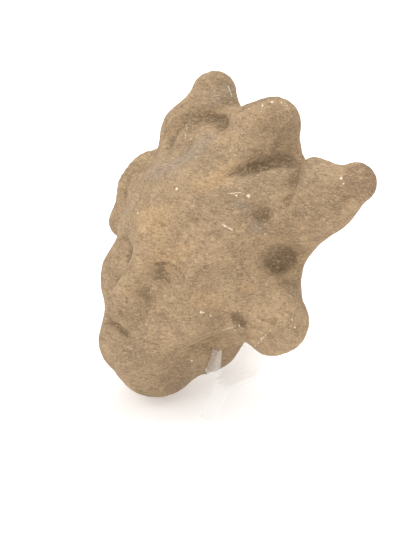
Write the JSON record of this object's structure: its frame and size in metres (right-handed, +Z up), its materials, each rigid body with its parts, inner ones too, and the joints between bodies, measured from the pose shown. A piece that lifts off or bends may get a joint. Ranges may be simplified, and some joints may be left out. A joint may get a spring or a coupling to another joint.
{
  "type": "limestone head on a display easel",
  "caption": "worn limestone head with radiating locks of hair, leaning back in a bent clear acrylic display easel",
  "frame": {"origin": "on the ground under the middle of the whole box", "axes": "+Z up, -Y the side that the face looks to, +X the head's own left"},
  "size_m": [0.2146, 0.1836, 0.2122],
  "materials": {
    "limestone": "matt, worn and patinated, fine grained",
    "acrylic": "clear, polished sheet"
  },
  "bodies": {
    "root": {"limestone_head": "limestone", "acrylic_easel": "acrylic"}
  },
  "joints": []
}
